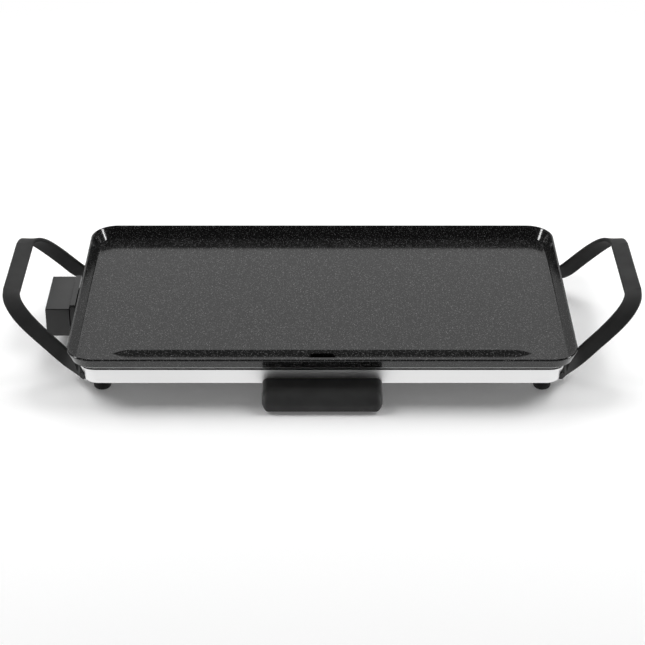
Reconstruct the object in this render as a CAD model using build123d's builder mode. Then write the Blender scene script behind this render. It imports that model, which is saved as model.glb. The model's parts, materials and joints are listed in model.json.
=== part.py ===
"""Electric griddle: a cast plate on a steel base with two loop handles, a drip tray and a plug-in control.

The origin is on the table, at the centre of the four feet. X runs along the plate, Y to the back, Z up.
"""
from build123d import *
import math
import os

os.makedirs("parts", exist_ok=True)

# Griddle plate
plate_length = 460.0
plate_width = 260.0
rim_height = 46.0
rim_corner = 25.5
rim_land = 2.4
rim_inner_edge = 0.6
rim_outer_edge = 1.2
well_depth = 13.0
well_lean = 6.4
well_fillet = 4.0
floor_thickness = 3.0
skirt_drop = 10.1
skirt_lean = 4.5
edge_inset = 10.0
edge_rise = 1.3
underside_inset = 16.0

# Grease groove and its drain
groove_end_margin = 40.0
groove_front_margin = 26.2
groove_width = 13.4
groove_depth = 2.4
groove_runout = 16.0
groove_steps = 4
groove_point = 0.1
groove_backing = 2.5
drain_length = 24.0
drain_width = 9.0
drain_offset = 2.2
spout_wall = 4.0
spout_drop = 6.0

# Heating element and its seat on the plate
element_d = 6.6
element_drop = 6.3
element_bend = 20.0
run_margin = 58.0
run_end_margin = 40.0
return_margin = 110.0
lead_in_margin = 65.0
element_start_margin = 22.0
seat_width = 10.0
clamp_margin = 140.0
clamp_sheet = 1.0
clamp_length = 10.0
clamp_ear = 12.0
clamp_screw_offset = 9.0
clamp_boss_d = 7.0

# Terminal pins, probe and their guides
pin_d = 4.6
pin_spacing = 32.0
pin_recess = 3.5
bush_d = 8.6
probe_d = 5.4
probe_tip_margin = 80.0
sleeve_wall = 1.2
sleeve_tail = 3.0
sleeve_setback = 2.0

# Base
foot_height = 12.4
plate_gap = 1.2
base_inset = 11.7
base_corner = 13.8
base_draft = 10.5
base_sheet = 1.0
base_edge = 2.5
flange_width = 22.0
bottom_sheet = 0.8
bottom_margin = 6.0
bottom_corner = 10.0
vent_length = 40.0
vent_width = 4.0
vent_pitch = 14.0
vent_count = 5
vent_margin = 135.0

# Heat reflector and plate posts
reflector_sheet = 0.8
reflector_rise = 2.8
reflector_end_margin = 32.0
reflector_back_margin = 42.0
reflector_spout_gap = 6.8
reflector_lip = 1.5
reflector_corner = 12.0
post_margin = 80.0
post_d = 11.0
post_screw_d = 4.0

# Feet
foot_d = 16.0
foot_inset = 15.3
foot_round = 3.0
foot_recess = 5.0
foot_recess_d = 8.4
foot_screw_d = 4.0

# Handles: places are measured from the top of the base, the ends of the plate and the rim
band_thickness = 4.0
band_edge = 1.4
root_width = 12.0
root_margin = 19.6
root_drop = 2.1
root_turn = 83.9
root_climb = 32.0
root_pull = 9.0
root_steps = 5
arm_width = 15.2
arm_reach = 23.3
arm_margin = 52.6
arm_drop = 4.5
arm_turn = 12.3
arm_climb = 44.6
arm_roll = -32.0
arm_pull_down = 22.7
arm_pull_up = 18.8
arm_steps = 8
grip_width = 16.0
grip_reach = 67.0
grip_margin = 85.8
grip_rise = 22.6
grip_tilt = 8.0
grip_pull = 33.8
pad_rise = 7.0
pad_margin = 37.5
pad_length = 13.0
pad_width = 13.0
pad_thickness = 6.5
pad_corner = 2.0
insert_d = 6.0
insert_length = 4.0
handle_screw_d = 3.5

# Drip tray
tray_front_width = 108.0
tray_front_overhang = 17.0
tray_front_cover = 2.9
tray_front_corner = 6.0
tray_front_round = 13.0
tray_front_wall = 3.5
tray_pull_margin = 8.0
tray_ground = 3.0
tray_width = 88.0
tray_back_margin = 70.0
tray_sheet = 1.0
tray_lip = 4.2
tray_corner = 6.0
tray_screw_d = 3.0
tray_screw_reach = 30.0
guide_sheet = 0.8
guide_length = 36.0
guide_margin = 38.0
guide_foot = 8.5
rivet_d = 3.0

# Socket shroud
shroud_gap = 0.6
shroud_thickness = 4.9
shroud_step = 1.7
shroud_rise = 2.5
shroud_corner = 2.0
neck_wall = 1.0
neck_back = 3.0
shroud_screw_d = 3.0
shroud_screw_edge = 3.2

# Plug-in control
control_reach = 22.9
control_gap = 0.8
control_side = 9.6
control_drop = 11.4
control_rise = 17.8
control_wall = 2.2
control_edge = 0.8
nose_wall = 2.5
nose_cover = 0.9
nose_gap = 6.3
nose_flange = 2.5
nose_flange_margin = 2.4
socket_wall = 0.9
switch_thickness = 5.0
switch_width = 28.0
switch_height = 18.0
switch_corner = 1.8
gland_bore = 6.6
gland_wall = 1.2
gland_flange_d = 12.0
gland_flange = 2.0
gland_tail = 4.0
gland_offset = 9.4
lead_d = 2.4
lead_pitch = 9.2
lens_d = 7.0
lens_depth = 4.4
lens_margin = 14.6
lens_rise = 3.1
lamp_d = 4.6
lamp_length = 4.0
control_screw_d = 2.5
control_post_d = 4.8
control_post_inset = 2.6

# Temperature dial
dial_d = 21.0
dial_margin = 22.6
dial_recess = 7.0
dial_disc = 1.7
dial_grip_width = 5.0
dial_flush = 0.2
dial_shaft_d = 5.0
dial_shaft_seat = 2.0
dial_floor = 1.4

# Clearances
slide_clearance = 0.3
fit_clearance = 0.05
screw_clearance = 0.15
nose_clearance = 0.4

# Heights above the table
floor_z = rim_height - well_depth
underside_z = floor_z - floor_thickness
skirt_z = rim_height - skirt_drop
element_z = underside_z - element_drop
base_top_z = underside_z - plate_gap
flange_top_z = foot_height + base_sheet
bottom_top_z = flange_top_z + bottom_sheet
reflector_z = bottom_top_z + reflector_rise
reflector_top_z = reflector_z + reflector_sheet
lip_z = bottom_top_z + slide_clearance
lip_top_z = lip_z + tray_sheet
guide_z = lip_top_z + slide_clearance
mouth_top_z = guide_z + guide_sheet
tray_top_z = mouth_top_z + tray_front_cover
pad_height = foot_height + pad_rise
control_bottom = element_z - control_drop
control_top = element_z + control_rise
control_mid_z = (control_bottom + control_top) / 2
shroud_top = control_top + shroud_rise

# Half sizes of the plate and the base, from the centre
half_length = plate_length / 2
half_width = plate_width / 2
base_half_length = half_length - base_inset
base_half_width = half_width - base_inset

# Pieces that plug together, from the pins outwards
socket_d = pin_d + 2 * (slide_clearance + socket_wall)
nose_width = pin_spacing + socket_d + 2 * nose_wall
nose_height = socket_d + 2 * nose_cover
control_width = nose_width + 2 * control_side
shroud_width = control_width - 2 * shroud_step
shroud_outer = half_length + shroud_gap + shroud_thickness
control_outer = shroud_outer + control_reach
pin_tip = shroud_outer - pin_recess
element_start = half_length - element_start_margin

# The base wall leans out towards its top
wall_lean = math.tan(math.radians(base_draft))


def wall_reach(height, half_top):
    """Distance from the centre to the outer face of the base wall at a height."""
    return half_top - (base_top_z - height) * wall_lean


def wall_plane(side):
    """Plane on the outer face of the base wall, left (-1) or right (1), at the height of the handle pads."""
    lean = math.radians(base_draft)
    reach = wall_reach(pad_height, base_half_length)
    outward = (side * math.cos(lean), 0, -math.sin(lean))
    return Plane(origin=(side * reach, 0, pad_height), x_dir=(0, side, 0), z_dir=outward)


def plate_outline(inset):
    """Rounded rectangle that lies inside the rim's outline by an inset."""
    RectangleRounded(plate_length - 2 * inset, plate_width - 2 * inset, rim_corner - inset)


def base_outline(inset, height):
    """Rounded rectangle of the base wall at a height, less an inset."""
    shrink = inset + (base_top_z - height) * wall_lean
    RectangleRounded(2 * (base_half_length - shrink), 2 * (base_half_width - shrink), base_corner)


# Route of the heating element, seen from above, from one terminal to the other
outer_run = half_width - run_margin
run_pitch = outer_run / 1.5
half_pitch = run_pitch / 2
run_reach = half_length - run_end_margin
terminal_y = pin_spacing / 2
front_half = [
    (-element_start, -terminal_y),
    (-run_reach, -terminal_y),
    (-(half_length - lead_in_margin), -outer_run),
    (run_reach, -outer_run),
    (run_reach, -half_pitch),
    (-(half_length - return_margin), -half_pitch),
]
back_half = [(x, -y) for x, y in reversed(front_half)]
element_points = front_half + back_half

# Places that repeat
post_reach = half_length - post_margin
clamp_reach = half_length - clamp_margin
foot_x = wall_reach(foot_height, base_half_length) - foot_inset
foot_y = wall_reach(foot_height, base_half_width) - foot_inset
post_places = [(x, y) for x in (-post_reach, post_reach) for y in (-run_pitch, run_pitch)]
clamp_places = [(x, y) for x in (-clamp_reach, clamp_reach) for y in (-outer_run, outer_run)]
clamp_screws = [(x, y + d) for x, y in clamp_places for d in (-clamp_screw_offset, clamp_screw_offset)]
foot_places = {
    "front_left": (-foot_x, -foot_y),
    "front_right": (foot_x, -foot_y),
    "rear_left": (-foot_x, foot_y),
    "rear_right": (foot_x, foot_y),
}

# Griddle plate: a cast pan with a sloped wall, a groove, a drain and cast seats underneath
groove_tip = half_length - groove_end_margin
groove_rear = half_width - groove_front_margin - groove_width
groove_setback = groove_rear + groove_width / 2
drain_setback = groove_setback + drain_offset
groove_shares = [(step + groove_point) / (groove_steps + groove_point) for step in range(groove_steps + 1)]
left_end = [(share * groove_runout - groove_tip, math.sin(share * math.pi / 2)) for share in groove_shares]
right_end = [(-x, scale) for x, scale in left_end]
groove_middle = [left_end[-1], right_end[-1]]
spout_length = drain_length + 2 * spout_wall
spout_width = drain_width + 2 * spout_wall
probe_tip = half_length - probe_tip_margin
sleeve_inner_end = probe_tip - sleeve_tail
sleeve_outer_end = element_start - sleeve_setback
sleeve_d = probe_d + 2 * (slide_clearance + sleeve_wall)
sleeve_seat = element_drop - sleeve_d / 2
sleeve_length = sleeve_outer_end - sleeve_inner_end
sleeve_mid = -(sleeve_outer_end + sleeve_inner_end) / 2
clamp_boss_drop = element_drop
plate_screw_depth = underside_z - reflector_top_z

with BuildPart() as griddle_plate:
    with BuildSketch(Plane.XY.offset(underside_z)):
        plate_outline(underside_inset)
    with BuildSketch(Plane.XY.offset(underside_z + edge_rise)):
        plate_outline(edge_inset)
    with BuildSketch(Plane.XY.offset(skirt_z)):
        plate_outline(skirt_lean)
    with BuildSketch(Plane.XY.offset(rim_height)):
        plate_outline(0)
    loft(ruled=True)
    with BuildSketch(Plane.XY.offset(floor_z)):
        plate_outline(rim_land + well_lean)
    with BuildSketch(Plane.XY.offset(rim_height)):
        plate_outline(rim_land)
    loft(mode=Mode.SUBTRACT)
    well_floor = griddle_plate.faces().filter_by(Plane.XY).sort_by(Axis.Z)[1]
    fillet(well_floor.outer_wire().edges(), radius=well_fillet)
    rim_top = griddle_plate.faces().filter_by(Plane.XY).sort_by(Axis.Z)[-1]
    fillet(rim_top.inner_wires()[0].edges(), radius=rim_inner_edge)
    rim_top = griddle_plate.faces().filter_by(Plane.XY).sort_by(Axis.Z)[-1]
    fillet(rim_top.outer_wire().edges(), radius=rim_outer_edge)
    with BuildSketch(Plane.XY.offset(underside_z)):
        with Locations((0, -groove_setback)):
            SlotOverall(2 * groove_tip, groove_width + 2 * groove_backing)
    extrude(amount=-groove_backing)
    with BuildSketch(Plane.XY.offset(underside_z)):
        with Locations((0, -drain_setback)):
            SlotOverall(spout_length, spout_width)
    extrude(amount=-spout_drop)
    with BuildSketch(Plane.XY.offset(underside_z)):
        with BuildLine():
            FilletPolyline(*element_points, radius=element_bend)
        trace(line_width=seat_width)
    extrude(amount=-(element_drop - element_d / 2))
    with BuildSketch(Plane.XY.offset(underside_z)):
        with Locations((sleeve_mid, 0)):
            Rectangle(sleeve_length, seat_width)
    extrude(amount=-sleeve_seat)
    with BuildSketch(Plane.XY.offset(underside_z)):
        with Locations(*clamp_screws):
            Circle(clamp_boss_d / 2)
    extrude(amount=-clamp_boss_drop)
    with BuildSketch(Plane.XY.offset(underside_z)):
        with Locations(*post_places):
            Circle(post_d / 2)
    extrude(amount=-plate_screw_depth)
    for stretch in (left_end, groove_middle, right_end):
        for x, scale in stretch:
            rear = -groove_setback + scale * groove_width / 2
            front = -groove_setback - scale * groove_width / 2
            slope_knot = (-groove_setback, floor_z - scale * groove_depth / 2)
            wall_knot = (front, floor_z - 2 * scale * groove_depth)
            with BuildSketch(Plane.YZ.offset(x)):
                with BuildLine():
                    Bezier((rear, floor_z), slope_knot, wall_knot, (front, floor_z))
                    Polyline((front, floor_z), (front, rim_height), (rear, rim_height), (rear, floor_z))
                make_face()
        loft(mode=Mode.SUBTRACT)
    with BuildSketch(Plane.XY.offset(floor_z)):
        with Locations((0, -drain_setback)):
            SlotOverall(drain_length, drain_width)
    extrude(amount=-(floor_thickness + spout_drop), mode=Mode.SUBTRACT)
    with BuildSketch(Plane.XY.offset(underside_z - clamp_boss_drop)):
        with Locations(*clamp_screws):
            Circle(rivet_d / 2 + fit_clearance)
    extrude(amount=clamp_boss_drop, mode=Mode.SUBTRACT)
    with BuildSketch(Plane.XY.offset(reflector_top_z)):
        with Locations(*post_places):
            Circle(post_screw_d / 2 + fit_clearance)
    extrude(amount=plate_screw_depth, mode=Mode.SUBTRACT)
griddle_plate.part.label = "griddle_plate"
export_step(griddle_plate.part, "parts/griddle_plate.step")

# Heating element: one sheathed tube bent into a double hairpin
with BuildPart() as heating_element:
    with BuildLine(Plane.XY.offset(element_z)) as element_run:
        FilletPolyline(*element_points, radius=element_bend)
    with BuildSketch(Plane(origin=element_run.line @ 0, z_dir=element_run.line % 0)):
        Circle(element_d / 2 - fit_clearance)
    sweep()
heating_element.part.label = "heating_element"
export_step(heating_element.part, "parts/heating_element.step")

# Clamps: sheet straps that hold the tube against its seat
clamp_inner = element_d / 2 + fit_clearance
with BuildPart() as element_clamps:
    for x, y in clamp_places:
        with BuildSketch(Plane.YZ.offset(x)):
            with Locations((y, element_z)):
                Circle(clamp_inner + clamp_sheet)
            with Locations((y, element_z - clamp_sheet / 2)):
                Rectangle(2 * clamp_ear, clamp_sheet)
            with Locations((y, element_z)):
                Circle(clamp_inner, mode=Mode.SUBTRACT)
            with Locations((y, element_z + clamp_ear / 2)):
                Rectangle(2 * clamp_ear, clamp_ear, mode=Mode.SUBTRACT)
        extrude(amount=clamp_length / 2, both=True)
    with BuildSketch(Plane.XY.offset(element_z)):
        with Locations(*clamp_screws):
            Circle(rivet_d / 2 + screw_clearance)
    extrude(amount=-clamp_sheet, mode=Mode.SUBTRACT)
element_clamps.part.label = "element_clamps"
export_step(element_clamps.part, "parts/element_clamps.step")

# Clamp screws
clamp_head_d = 5.4
clamp_head = 1.7
with BuildPart() as element_clamp_screws:
    with BuildSketch(Plane.XY.offset(element_z - clamp_sheet)):
        with Locations(*clamp_screws):
            Circle(clamp_head_d / 2)
    extrude(amount=-clamp_head)
    with BuildSketch(Plane.XY.offset(element_z - clamp_sheet)):
        with Locations(*clamp_screws):
            Circle(rivet_d / 2)
    extrude(amount=clamp_sheet + clamp_boss_drop - clamp_head)
element_clamp_screws.part.label = "element_clamp_screws"
export_step(element_clamp_screws.part, "parts/element_clamp_screws.step")

# Terminal pins on the two cold ends of the tube
pin_places = [(-terminal_y, element_z), (terminal_y, element_z)]
with BuildPart() as terminal_pins:
    with BuildSketch(Plane.YZ.offset(-element_start)):
        with Locations(*pin_places):
            Circle(pin_d / 2)
    extrude(amount=-(pin_tip - element_start))
    fillet(terminal_pins.faces().sort_by(Axis.X)[:2].edges(), radius=pin_d / 4)
terminal_pins.part.label = "terminal_pins"
export_step(terminal_pins.part, "parts/terminal_pins.step")

# Base frame: a drawn steel band that leans outwards, with a flange turned in at its foot
notch_half = nose_width / 2 + nose_clearance + neck_wall + slide_clearance
notch_z = element_z - nose_height / 2 - nose_clearance - neck_wall - slide_clearance
mouth_half = tray_width / 2 + tray_lip + 2 * slide_clearance
slot_half = tray_width / 2 + 2 * slide_clearance
tray_back = half_width - tray_back_margin
slot_back = tray_back - 2 * slide_clearance
slot_length = base_half_width - slot_back
slot_mid = -(base_half_width + slot_back) / 2
pad_y = half_width - pad_margin
pad_places = [(-pad_y, 0), (pad_y, 0)]
shroud_screw_y = shroud_width / 2 - shroud_screw_edge
shroud_screws_at = [(-shroud_screw_y, element_z), (shroud_screw_y, element_z)]

with BuildPart() as base_frame:
    with BuildSketch(Plane.XY.offset(foot_height)):
        base_outline(0, foot_height)
    with BuildSketch(Plane.XY.offset(base_top_z)):
        base_outline(0, base_top_z)
    loft()
    fillet(base_frame.faces().sort_by(Axis.Z)[0].edges(), radius=base_edge)
    with BuildSketch(Plane.XY.offset(flange_top_z)):
        base_outline(base_sheet, flange_top_z)
    with BuildSketch(Plane.XY.offset(base_top_z)):
        base_outline(base_sheet, base_top_z)
    loft(mode=Mode.SUBTRACT)
    with BuildSketch(Plane.XY.offset(foot_height)):
        base_outline(flange_width, foot_height)
    extrude(amount=base_sheet, mode=Mode.SUBTRACT)
    with BuildSketch(Plane.XY.offset(foot_height)):
        with Locations(*foot_places.values()):
            Circle(foot_screw_d / 2 + screw_clearance)
        with Locations((0, slot_mid)):
            Rectangle(2 * slot_half, slot_length)
    extrude(amount=base_sheet, mode=Mode.SUBTRACT)
    with BuildSketch(Plane.XZ.offset(base_half_width - flange_width)):
        with Locations((0, (flange_top_z + mouth_top_z) / 2)):
            Rectangle(2 * mouth_half, mouth_top_z - flange_top_z)
    extrude(amount=flange_width, mode=Mode.SUBTRACT)
    with BuildSketch(Plane.YZ.offset(-base_half_length)):
        with Locations((0, (notch_z + base_top_z) / 2)):
            Rectangle(2 * notch_half, base_top_z - notch_z)
        with Locations(*shroud_screws_at):
            Circle(shroud_screw_d / 2 + fit_clearance)
    extrude(amount=flange_width / 2, mode=Mode.SUBTRACT)
    for side in (-1, 1):
        with BuildSketch(wall_plane(side)):
            with Locations(*pad_places):
                Circle(handle_screw_d / 2 + screw_clearance)
        extrude(amount=2 * base_sheet, both=True, mode=Mode.SUBTRACT)
base_frame.part.label = "base_frame"
export_step(base_frame.part, "parts/base_frame.step")

# Base bottom: a flat sheet that lies on the flange, with vents and the slot for the tray
bottom_length = 2 * (wall_reach(flange_top_z, base_half_length) - base_sheet - bottom_margin)
bottom_width = 2 * (wall_reach(flange_top_z, base_half_width) - base_sheet - bottom_margin)
vent_reach = half_length - vent_margin
guide_front = half_width - guide_margin
guide_web = tray_width / 2 + tray_lip + slide_clearance
rivet_x = guide_web + guide_sheet + (guide_foot - guide_sheet) / 2
rivet_places = [
    (side * rivet_x, -(guide_front - guide_length * share)) for side in (-1, 1) for share in (0.25, 0.75)
]
with BuildPart() as base_bottom:
    with BuildSketch(Plane.XY.offset(flange_top_z)):
        RectangleRounded(bottom_length, bottom_width, bottom_corner)
        with Locations((0, slot_mid)):
            Rectangle(2 * slot_half, slot_length, mode=Mode.SUBTRACT)
        with GridLocations(2 * vent_reach, vent_pitch, 2, vent_count):
            SlotOverall(vent_length, vent_width, mode=Mode.SUBTRACT)
        with Locations(*foot_places.values()):
            Circle(foot_screw_d / 2 + screw_clearance, mode=Mode.SUBTRACT)
        with Locations(*post_places):
            Circle(post_screw_d / 2 + screw_clearance, mode=Mode.SUBTRACT)
        with Locations(*rivet_places):
            Circle(rivet_d / 2 + fit_clearance, mode=Mode.SUBTRACT)
    extrude(amount=bottom_sheet)
base_bottom.part.label = "base_bottom"
export_step(base_bottom.part, "parts/base_bottom.step")

# Heat reflector: a bright tray of sheet under the element
reflector_length = 2 * (half_length - reflector_end_margin)
reflector_front = drain_setback - spout_width / 2 - reflector_spout_gap
reflector_back = half_width - reflector_back_margin
reflector_width = reflector_front + reflector_back
reflector_mid = (reflector_back - reflector_front) / 2
with BuildPart() as heat_reflector:
    with BuildSketch(Plane.XY.offset(reflector_z)):
        with Locations((0, reflector_mid)):
            RectangleRounded(reflector_length, reflector_width, reflector_corner)
        with Locations(*post_places):
            Circle(post_screw_d / 2 + screw_clearance, mode=Mode.SUBTRACT)
    extrude(amount=reflector_sheet)
    with BuildSketch(Plane.XY.offset(reflector_top_z)):
        with Locations((0, reflector_mid)):
            RectangleRounded(reflector_length, reflector_width, reflector_corner)
            RectangleRounded(
                reflector_length - 2 * reflector_sheet,
                reflector_width - 2 * reflector_sheet,
                reflector_corner - reflector_sheet,
                mode=Mode.SUBTRACT,
            )
    extrude(amount=reflector_lip)
heat_reflector.part.label = "heat_reflector"
export_step(heat_reflector.part, "parts/heat_reflector.step")

# Spacers between the base bottom and the reflector
with BuildPart() as plate_spacers:
    with BuildSketch(Plane.XY.offset(bottom_top_z)):
        with Locations(*post_places):
            Circle(post_d / 2)
            Circle(post_screw_d / 2 + screw_clearance, mode=Mode.SUBTRACT)
    extrude(amount=reflector_rise)
plate_spacers.part.label = "plate_spacers"
export_step(plate_spacers.part, "parts/plate_spacers.step")

# Screws that draw the plate down on its posts
plate_head_d = 8.0
plate_head = 2.4
with BuildPart() as plate_screws:
    with BuildSketch(Plane.XY.offset(flange_top_z)):
        with Locations(*post_places):
            Circle(plate_head_d / 2)
    extrude(amount=-plate_head)
    with BuildSketch(Plane.XY.offset(flange_top_z)):
        with Locations(*post_places):
            Circle(post_screw_d / 2)
    extrude(amount=underside_z - flange_top_z - slide_clearance)
plate_screws.part.label = "plate_screws"
export_step(plate_screws.part, "parts/plate_screws.step")

# Tray guides: bent strips that keep the lips of the tray down on the base bottom
for side, name in ((-1, "left"), (1, "right")):
    with BuildPart() as tray_guide:
        with BuildSketch(Plane.XZ.offset(guide_front)):
            with Locations((side * (guide_web + guide_foot / 2), bottom_top_z + guide_sheet / 2)):
                Rectangle(guide_foot, guide_sheet)
            with Locations((side * (guide_web + guide_sheet / 2), (bottom_top_z + mouth_top_z) / 2)):
                Rectangle(guide_sheet, mouth_top_z - bottom_top_z)
            with Locations((side * (guide_web - tray_lip / 2 + guide_sheet), guide_z + guide_sheet / 2)):
                Rectangle(tray_lip, guide_sheet)
        extrude(amount=-guide_length)
        with BuildSketch(Plane.XY.offset(bottom_top_z)):
            with Locations(*rivet_places):
                Circle(rivet_d / 2 + fit_clearance)
        extrude(amount=guide_sheet, mode=Mode.SUBTRACT)
    tray_guide.part.label = "tray_guide_" + name
    export_step(tray_guide.part, "parts/tray_guide_" + name + ".step")

# Rivets through the guides and the base bottom
rivet_head_d = 5.0
rivet_head = 1.0
with BuildPart() as tray_guide_rivets:
    with BuildSketch(Plane.XY.offset(flange_top_z)):
        with Locations(*rivet_places):
            Circle(rivet_d / 2)
    extrude(amount=bottom_sheet + guide_sheet)
    with BuildSketch(Plane.XY.offset(flange_top_z)):
        with Locations(*rivet_places):
            Circle(rivet_head_d / 2)
    extrude(amount=-rivet_head)
    with BuildSketch(Plane.XY.offset(bottom_top_z + guide_sheet)):
        with Locations(*rivet_places):
            Circle(rivet_head_d / 2)
    extrude(amount=rivet_head)
tray_guide_rivets.part.label = "tray_guide_rivets"
export_step(tray_guide_rivets.part, "parts/tray_guide_rivets.step")

# Feet: rubber pads with a rounded sole and a recess for their screw
for name, place in foot_places.items():
    with BuildPart() as foot:
        with BuildSketch():
            with Locations(place):
                Circle(foot_d / 2)
        extrude(amount=foot_height)
        fillet(foot.faces().sort_by(Axis.Z)[0].edges(), radius=foot_round)
        with BuildSketch():
            with Locations(place):
                Circle(foot_recess_d / 2)
        extrude(amount=foot_recess, mode=Mode.SUBTRACT)
        with BuildSketch(Plane.XY.offset(foot_recess)):
            with Locations(place):
                Circle(foot_screw_d / 2 + screw_clearance)
        extrude(amount=foot_height - foot_recess, mode=Mode.SUBTRACT)
    foot.part.label = "foot_" + name
    export_step(foot.part, "parts/foot_" + name + ".step")

# Foot screws and their nuts
foot_head_d = 7.6
foot_head = 2.4
nut_flats = 7.0
nut_height = 3.2
with BuildPart() as foot_screws:
    with BuildSketch(Plane.XY.offset(foot_recess)):
        with Locations(*foot_places.values()):
            Circle(foot_head_d / 2)
    extrude(amount=-foot_head)
    with BuildSketch(Plane.XY.offset(foot_recess)):
        with Locations(*foot_places.values()):
            Circle(foot_screw_d / 2)
    extrude(amount=bottom_top_z + nut_height - foot_recess)
foot_screws.part.label = "foot_screws"
export_step(foot_screws.part, "parts/foot_screws.step")

with BuildPart() as foot_nuts:
    with BuildSketch(Plane.XY.offset(bottom_top_z)):
        with Locations(*foot_places.values()):
            RegularPolygon(nut_flats / 2, 6, major_radius=False)
            Circle(foot_screw_d / 2 + fit_clearance, mode=Mode.SUBTRACT)
    extrude(amount=nut_height)
foot_nuts.part.label = "foot_nuts"
export_step(foot_nuts.part, "parts/foot_nuts.step")

# Handles: a flat band that leaves the base near its corner, climbs a slanted arm and bends into the grip


def heading(turn, climb):
    """Direction that turns from outwards to the middle of the handle by one angle and climbs by another."""
    turn = math.radians(turn)
    climb = math.radians(climb)
    return Vector(math.cos(turn) * math.cos(climb), -math.sin(turn) * math.cos(climb), math.sin(climb))


def between(ends, share):
    """Value at a share of the way between two ends."""
    return ends[0] + (ends[1] - ends[0]) * share


root = wall_plane(1).from_local_coords((half_width - root_margin, -root_drop, 0))
arm = Vector(base_half_length + arm_reach, half_width - arm_margin, base_top_z - arm_drop)
grip_half = half_width - grip_margin
grip_corner = Vector(base_half_length + grip_reach, grip_half, rim_height + grip_rise)
root_knot = root + heading(root_turn, root_climb) * root_pull
arm_low_knot = arm - heading(arm_turn, arm_climb) * arm_pull_down
arm_high_knot = arm + heading(arm_turn, arm_climb) * arm_pull_up
grip_knot = grip_corner + Vector(0, grip_pull, 0)
with BuildLine():
    root_run = Bezier(root, root_knot, arm_low_knot, arm)
    arm_run = Bezier(arm, arm_high_knot, grip_knot, grip_corner)
root_shares = [step / root_steps for step in range(root_steps)]
arm_shares = [step / arm_steps for step in range(arm_steps + 1)]
root_roll = -90 - base_draft
band_runs = [
    (root_run, root_shares, (root_roll, arm_roll), (root_width, arm_width)),
    (arm_run, arm_shares, (arm_roll, grip_tilt), (arm_width, grip_width)),
]
with BuildPart() as handle_right:
    for run, shares, rolls, widths in band_runs:
        for share in shares:
            roll = math.radians(between(rolls, share))
            direction = run % share
            across = Vector(math.cos(roll), 0, math.sin(roll))
            across = across - direction * across.dot(direction)
            with BuildSketch(Plane(origin=run @ share, x_dir=across, z_dir=direction)):
                RectangleRounded(between(widths, share), band_thickness, band_edge)
    loft()
    extrude(handle_right.faces().sort_by(Axis.Y)[0], amount=grip_half)
    with BuildSketch(Plane.XY.offset(foot_height)):
        base_outline(-fit_clearance, foot_height)
    with BuildSketch(Plane.XY.offset(base_top_z)):
        base_outline(-fit_clearance, base_top_z)
    loft(mode=Mode.SUBTRACT)
    with BuildSketch(wall_plane(1).offset(fit_clearance)):
        with Locations(pad_places[1]):
            RectangleRounded(pad_length, pad_width, pad_corner)
    extrude(amount=pad_thickness)
    with BuildSketch(wall_plane(1)):
        with Locations(pad_places[1]):
            Circle(insert_d / 2 + fit_clearance)
    extrude(amount=insert_length + 2 * fit_clearance, mode=Mode.SUBTRACT)
    mirror(about=Plane.XZ)
handle_right.part.label = "handle_right"
export_step(handle_right.part, "parts/handle_right.step")

with BuildPart() as handle_left:
    mirror(handle_right.part, about=Plane.YZ)
handle_left.part.label = "handle_left"
export_step(handle_left.part, "parts/handle_left.step")

# Threaded inserts in the handle pads, and the screws that come into them from inside the base
handle_head_d = 6.0
handle_head = 2.0
with BuildPart() as handle_inserts:
    for side in (-1, 1):
        with BuildSketch(wall_plane(side).offset(fit_clearance)):
            with Locations(*pad_places):
                Circle(insert_d / 2)
                Circle(handle_screw_d / 2 + fit_clearance, mode=Mode.SUBTRACT)
        extrude(amount=insert_length)
handle_inserts.part.label = "handle_inserts"
export_step(handle_inserts.part, "parts/handle_inserts.step")

with BuildPart() as handle_screws:
    for side in (-1, 1):
        with BuildSketch(wall_plane(side).offset(-base_sheet)):
            with Locations(*pad_places):
                Circle(handle_head_d / 2)
        extrude(amount=-handle_head)
        with BuildSketch(wall_plane(side).offset(-base_sheet)):
            with Locations(*pad_places):
                Circle(handle_screw_d / 2)
        extrude(amount=base_sheet + insert_length)
handle_screws.part.label = "handle_screws"
export_step(handle_screws.part, "parts/handle_screws.step")

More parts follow.
